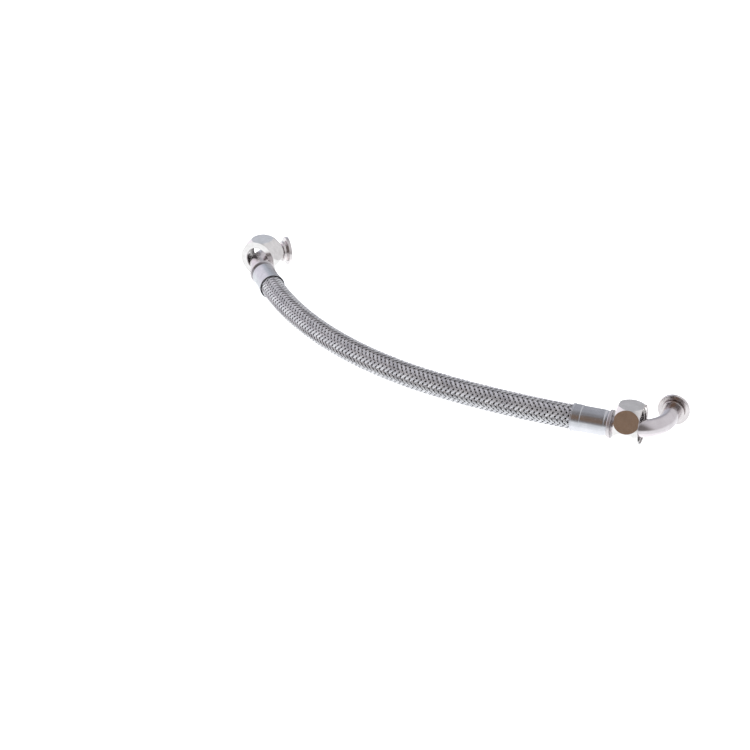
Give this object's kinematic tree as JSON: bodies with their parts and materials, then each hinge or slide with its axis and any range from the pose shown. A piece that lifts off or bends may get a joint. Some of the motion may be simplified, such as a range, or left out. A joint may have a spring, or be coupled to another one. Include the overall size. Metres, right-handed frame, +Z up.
{
  "type": "braided supply line",
  "caption": "Flexible steel-braided water hose with crimped ends, bent tube tails turned to the inside of its curve, flat sealing collars and loose union nuts.",
  "frame": {"origin": "centre of the right sealing face, on the tube's axis", "axes": "+Y out of the right outlet, +X along the right ferrule towards its elbow, +Z up from the surface the line lies on"},
  "size_m": [0.4119, 0.2114, 0.03],
  "materials": {
    "plated_tube": "nickel plated, satin",
    "plated_nut": "nickel plated, machined and bright",
    "ferrule_steel": "drawn and crimped, lightly polished",
    "braid_wire": "bright woven wire",
    "liner_rubber": "matt moulded"
  },
  "bodies": {
    "right_end": {"right_ferrule": "ferrule_steel", "right_insert": "plated_tube", "right_elbow_tube": "plated_tube", "right_collar": "plated_tube", "liner_link_10": "liner_rubber", "braid_link_10": "braid_wire"},
    "right_nut": {"right_union_nut": "plated_nut"},
    "hose_link_09": {"liner_link_09": "liner_rubber", "braid_link_09": "braid_wire"},
    "hose_link_08": {"liner_link_08": "liner_rubber", "braid_link_08": "braid_wire"},
    "hose_link_07": {"liner_link_07": "liner_rubber", "braid_link_07": "braid_wire"},
    "hose_link_06": {"liner_link_06": "liner_rubber", "braid_link_06": "braid_wire"},
    "hose_link_05": {"liner_link_05": "liner_rubber", "braid_link_05": "braid_wire"},
    "hose_link_04": {"liner_link_04": "liner_rubber", "braid_link_04": "braid_wire"},
    "hose_link_03": {"liner_link_03": "liner_rubber", "braid_link_03": "braid_wire"},
    "hose_link_02": {"liner_link_02": "liner_rubber", "braid_link_02": "braid_wire"},
    "left_end": {"left_ferrule": "ferrule_steel", "left_insert": "plated_tube", "left_elbow_tube": "plated_tube", "left_collar": "plated_tube", "liner_link_01": "liner_rubber", "braid_link_01": "braid_wire"},
    "left_nut": {"left_union_nut": "plated_nut"}
  },
  "joints": [
    {"name": "hose_bend_9", "type": "hinge", "parent": "right_end", "child": "hose_link_09", "pos_m": [-0.0834, -0.03801, 0], "axis": [0, 0, -1], "range_deg": [-20, 20]},
    {"name": "hose_lift_8", "type": "hinge", "parent": "hose_link_09", "child": "hose_link_08", "pos_m": [-0.11911, -0.03573, 0], "axis": [0.0957, 0.9954, 0], "range_deg": [-20, 20]},
    {"name": "hose_bend_7", "type": "hinge", "parent": "hose_link_08", "child": "hose_link_07", "pos_m": [-0.15461, -0.03116, 0], "axis": [0, 0, -1], "range_deg": [-20, 20]},
    {"name": "hose_lift_6", "type": "hinge", "parent": "hose_link_07", "child": "hose_link_06", "pos_m": [-0.18969, -0.02408, 0], "axis": [0.2485, 0.9686, 0], "range_deg": [-20, 20]},
    {"name": "hose_bend_5", "type": "hinge", "parent": "hose_link_06", "child": "hose_link_05", "pos_m": [-0.22378, -0.01323, 0], "axis": [0, 0, -1], "range_deg": [-20, 20]},
    {"name": "hose_lift_4", "type": "hinge", "parent": "hose_link_05", "child": "hose_link_04", "pos_m": [-0.25643, 0.00141, 0], "axis": [0.4604, 0.8877, 0], "range_deg": [-20, 20]},
    {"name": "hose_bend_3", "type": "hinge", "parent": "hose_link_04", "child": "hose_link_03", "pos_m": [-0.2872, 0.01965, 0], "axis": [0, 0, -1], "range_deg": [-20, 20]},
    {"name": "hose_lift_2", "type": "hinge", "parent": "hose_link_03", "child": "hose_link_02", "pos_m": [-0.31571, 0.04127, 0], "axis": [0.6486, 0.7612, 0], "range_deg": [-20, 20]},
    {"name": "hose_bend_1", "type": "hinge", "parent": "hose_link_02", "child": "left_end", "pos_m": [-0.34158, 0.06599, 0], "axis": [0, 0, -1], "range_deg": [-20, 20]},
    {"name": "right_nut_travel", "type": "hinge", "parent": "right_end", "child": "right_nut", "pos_m": [-0.023, -0.0153, 0], "axis": [0, 0, 1], "range_deg": [0, 90]},
    {"name": "left_nut_travel", "type": "hinge", "parent": "left_end", "child": "left_nut", "pos_m": [-0.36103, 0.12447, 0], "axis": [0, 0, -1], "range_deg": [-45, 25]}
  ],
  "couplings": [
    {"joint": "hose_bend_7", "follows": "hose_bend_9", "ratio": 1},
    {"joint": "hose_lift_6", "follows": "hose_lift_8", "ratio": 1},
    {"joint": "hose_bend_5", "follows": "hose_bend_9", "ratio": 1},
    {"joint": "hose_lift_4", "follows": "hose_lift_8", "ratio": 1},
    {"joint": "hose_bend_3", "follows": "hose_bend_9", "ratio": 1},
    {"joint": "hose_lift_2", "follows": "hose_lift_8", "ratio": 1},
    {"joint": "hose_bend_1", "follows": "hose_bend_9", "ratio": 1}
  ]
}
